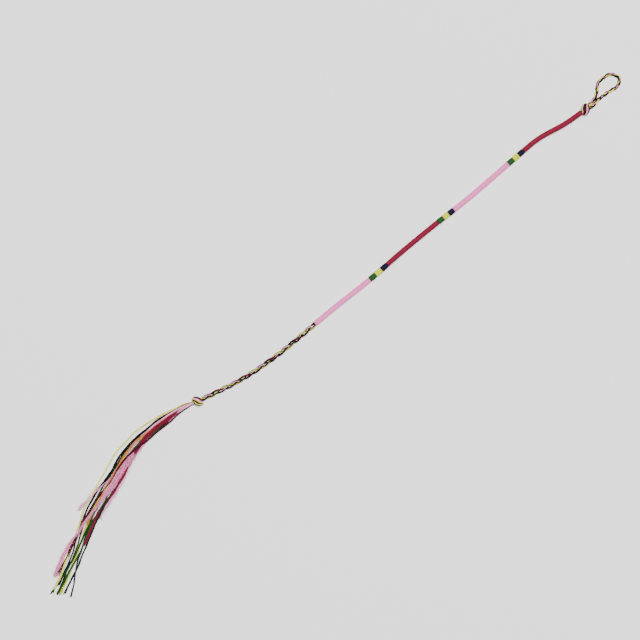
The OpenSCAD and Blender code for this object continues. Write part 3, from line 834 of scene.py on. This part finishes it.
class BRACELET_OT_windings(Operator):
    """Winds floss round the cord: four long stretches and three groups of narrow bands"""

    bl_idname = "bracelet.windings"
    bl_label = "Windings"

    def execute(self, context):
        layout = Layout(context.scene)
        sizes = layout.sizes
        start = layout.winding_start
        inner = sizes.cord_diameter / 2 - sizes.wrap_wall
        for i, (node, colour, size_name) in enumerate(WINDINGS):
            length = getattr(sizes, size_name)
            outer = (sizes.cord_diameter if "wrap" in node else sizes.band_diameter) / 2
            threads = Threads([colour])
            add_winding(threads, layout, start, length, outer, inner, sizes.turn_pitch, seed=i * 5 + 1)
            name = node.replace("wrap", "winding").replace("band", "turns")
            finish_piece(threads, name, layout, node)
            start += length + FIT_GAP
        return {"FINISHED"}


class BRACELET_OT_core(Operator):
    """Runs the bundle of threads through the windings"""

    bl_idname = "bracelet.core"
    bl_label = "Core threads"

    def execute(self, context):
        layout = Layout(context.scene)
        inside, bundle_r = 0.1, 0.52
        s = np.linspace(layout.winding_start + inside, layout.winding_end - inside, 420)
        line = np.concatenate([layout.cord.at(s), np.full((len(s), 1), layout.cord_z)], 1)
        threads = Threads(CORE_THREADS)
        add_tubes(threads, line[None], bundle_r, "ink", sides=12, relief=0.06)
        add_strand(threads, line, CORE_THREADS, ring_r=0.56, thread_r=0.29, round_l=22.0, phase=0.4, seed=60,
                   sides=8, plies=4)
        finish_piece(threads, "core_bundle", layout, "core_threads")
        return {"FINISHED"}


class BRACELET_OT_loop(Operator):
    """Braids the loop: three strands of two or three threads each"""

    bl_idname = "bracelet.loop"
    bl_label = "Loop"

    def execute(self, context):
        layout = Layout(context.scene)
        sizes = layout.sizes
        inside = 2.8
        for k, (node, slot, colours) in enumerate(LOOP_STRANDS):
            line = braid_line(layout.loop, -inside, layout.loop.length + inside, sizes.loop_pitch,
                              sizes.loop_cord, 120 * k, layout.loop_level, step=0.22, ends=0.75)
            threads = Threads(colours)
            add_strand(threads, line, colours, ring_r=0.2, thread_r=0.25, round_l=9.0, phase=1.1 * k,
                       seed=40 + 7 * k, relief=0.06, lay=4.0)
            finish_piece(threads, node + "_floss", layout, node)
        return {"FINISHED"}


class BRACELET_OT_braid(Operator):
    """Braids the loose stretch between the winding and the tail knot"""

    bl_idname = "bracelet.braid"
    bl_label = "Loose braid"

    def execute(self, context):
        layout = Layout(context.scene)
        sizes = layout.sizes
        inside = 1.9
        for k, (node, slot, colours) in enumerate(BRAID_STRANDS):
            line = braid_line(layout.cord, layout.braid_start - inside, layout.tail_knot_start + inside,
                              sizes.braid_pitch, sizes.braid_width, 120 * k, layout.braid_level, close=0.94)
            threads = Threads(colours)
            add_strand(threads, line, colours, ring_r=0.25, thread_r=0.24, round_l=17.0, phase=0.8 * k,
                       seed=80 + 9 * k, sides=12, relief=0.06, lay=5.0)
            finish_piece(threads, node + "_floss", layout, node)
        return {"FINISHED"}


class BRACELET_OT_knots(Operator):
    """Ties the two overhand knots from the whole bundle"""

    bl_idname = "bracelet.knots"
    bl_label = "Knots"

    def execute(self, context):
        layout = Layout(context.scene)
        # Each knot's node and slot, where it starts, its hand, how far it is shifted along the cord, its
        # threads, and how far its band runs before its middle and after it
        for node, slot, start, hand, shift, colours, before, after in (
                ("loop_knot", "pink_thread", 0, -1, 0.85, LOOP_KNOT_THREADS, 1.8, 3.3),
                ("tail_knot", "yellow_thread", layout.tail_knot_start, 1, 0, TAIL_KNOT_THREADS, 1.8, 1.7)):
            line = overhand_line(layout, start, hand, shift)
            middle = start + layout.knot_l / 2
            ahead = (line[:, :2] - layout.cord.at(middle)) @ layout.cord.heading(middle)
            line = resample(line[(ahead > -before) & (ahead < after)], 0.2)
            threads = Threads(colours)
            add_knot(threads, line, colours)
            finish_piece(threads, node + "_floss", layout, node)
        return {"FINISHED"}


class BRACELET_OT_tassel(Operator):
    """Leaves the fourteen threads loose below the tail knot"""

    bl_idname = "bracelet.tassel"
    bl_label = "Tassel"

    def execute(self, context):
        layout = Layout(context.scene)
        sizes = layout.sizes
        thick = sizes.thread_diameter / 2
        length = sizes.tassel_length
        inside, stray, tight, lean = 2.2, 0.22, 0.62, 0.93
        haze_from, fibres = 0.26, 900
        for i, (colour, _, _, share, widths, _, _) in enumerate(TASSEL_THREADS):
            line = layout.tassel_line(i, 0.5)
            s = np.linspace(0, share * length, len(line))
            back = line[0] + unit(line[0] - line[1]) * inside
            line, s = np.concatenate([back[None], line]), np.concatenate([[-inside], s])
            side = layout.cord.side(layout.tassel_start + s)
            # Each thread strays to the side over its first 20 mm, and is drawn tight over 7 mm at the knot
            line[:, :2] += (stray * ease(s / 20) * wander(s, 24, 200 + i))[:, None] * side
            loose = at_fifths(widths, np.clip(s, 0, None) / length)
            width = np.maximum(loose, 1) * (tight + (1 - tight) * ease(s / 7))
            threads = Threads([colour])
            if colour in LOOSENED:
                add_loosened(threads, line, side, width, thick, 300 + i, frayed=6.0)
            else:
                add_floss(threads, line, side, width, thick * lean, 300 + i, frayed=1.8)
            if colour in ("blush", "rose"):
                add_haze(threads, line, side, width, haze_from * length, share * length, fibres, 500 + i)
            finish_piece(threads, f"tassel_thread_{i + 1}", layout, "tassel")
        return {"FINISHED"}


class BRACELET_OT_stage(Operator):
    """Sets the pale surface, the soft light and the camera straight above"""

    bl_idname = "bracelet.stage"
    bl_label = "Stage"

    def execute(self, context):
        scene = context.scene
        stage = scene.stage_settings
        half = 6.0
        corners = [(-half, -half, 0), (half, -half, 0), (half, half, 0), (-half, half, 0)]
        mesh = bpy.data.meshes.new("surface")
        mesh.from_pydata(corners, [], [(0, 1, 2, 3)])
        surface = bpy.data.objects.new("surface", mesh)
        scene.collection.objects.link(surface)
        # Matt white card: no gloss, and the faintest unevenness. At 1 mm it is drawn coarser than card's own.
        card = bpy.data.materials.new("Matt white card")
        card.use_nodes = True
        tree = card.node_tree
        tree.nodes.clear()
        place = add_node(tree, "TexCoord")
        grain = add_node(tree, "TexNoise", [("Vector", place, "Object")], Scale=900.0, Detail=2.0)
        bump = add_node(tree, "Bump", [("Height", grain, "Fac")], Strength=0.04, Distance=0.00002)
        shader = add_node(tree, "BsdfPrincipled", [("Normal", bump, "Normal")], Roughness=0.95)
        shader.inputs["Base Color"].default_value = (*stage.surface, 1)
        shader.inputs["Specular IOR Level"].default_value = 0.1
        add_node(tree, "OutputMaterial", [("Surface", shader, "BSDF")])
        mesh.materials.append(card)

        world = bpy.data.worlds.new("Studio")
        world.use_nodes = True
        sky = world.node_tree.nodes["Background"]
        sky.inputs["Color"].default_value = (1, 1, 1, 1)
        sky.inputs["Strength"].default_value = stage.sky
        scene.world = world
        lamp = bpy.data.lights.new("Key lamp", "AREA")
        lamp.shape = "DISK"
        lamp.size = 1.5
        lamp.energy = stage.key_energy
        light = bpy.data.objects.new("Key lamp", lamp)
        x, y, z = KEY_PLACE
        light.location = KEY_PLACE
        light.rotation_euler = (-math.atan2(y, z), math.atan2(x, z), 0)
        scene.collection.objects.link(light)

        view = bpy.data.cameras.new("Camera")
        view.lens = stage.lens
        view.sensor_width = 36
        view.sensor_fit = "HORIZONTAL"
        view.clip_start = 0.01
        camera = bpy.data.objects.new("Camera", view)
        camera.location = (0, 0, stage.lens / view.sensor_width * stage.frame_width)
        camera.rotation_euler = (0, 0, -math.radians(LIE_TURN))
        scene.collection.objects.link(camera)
        scene.camera = camera
        return {"FINISHED"}


class BRACELET_PT_panel(Panel):
    """Lists the bracelet's pieces and sizes"""

    bl_label = "Friendship bracelet"
    bl_idname = "BRACELET_PT_panel"
    bl_space_type = "VIEW_3D"
    bl_region_type = "UI"
    bl_category = "Bracelet"

    def draw(self, context):
        for operator in OPERATORS:
            self.layout.operator(operator.bl_idname)
        for group, _ in GROUPS:
            box = self.layout.box()
            settings = getattr(context.scene, group)
            for name in settings.__annotations__:
                box.prop(settings, name)


GROUPS = (("bracelet_sizes", BraceletSizes), ("floss_colours", FlossColours),
          ("stage_settings", StageSettings))
OPERATORS = (BRACELET_OT_stage, BRACELET_OT_windings, BRACELET_OT_core, BRACELET_OT_loop, BRACELET_OT_braid,
             BRACELET_OT_knots, BRACELET_OT_tassel)


def register():
    for name, group in GROUPS:
        bpy.utils.register_class(group)
        setattr(bpy.types.Scene, name, PointerProperty(type=group))
    for operator in OPERATORS:
        bpy.utils.register_class(operator)
    bpy.utils.register_class(BRACELET_PT_panel)


def unregister():
    bpy.utils.unregister_class(BRACELET_PT_panel)
    for operator in reversed(OPERATORS):
        bpy.utils.unregister_class(operator)
    for name, group in reversed(GROUPS):
        delattr(bpy.types.Scene, name)
        bpy.utils.unregister_class(group)


def main():
    """Registers the classes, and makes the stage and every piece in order."""
    register()
    for operator in OPERATORS:
        group, name = operator.bl_idname.split(".")
        getattr(getattr(bpy.ops, group), name)()


if __name__ == "__main__":
    main()
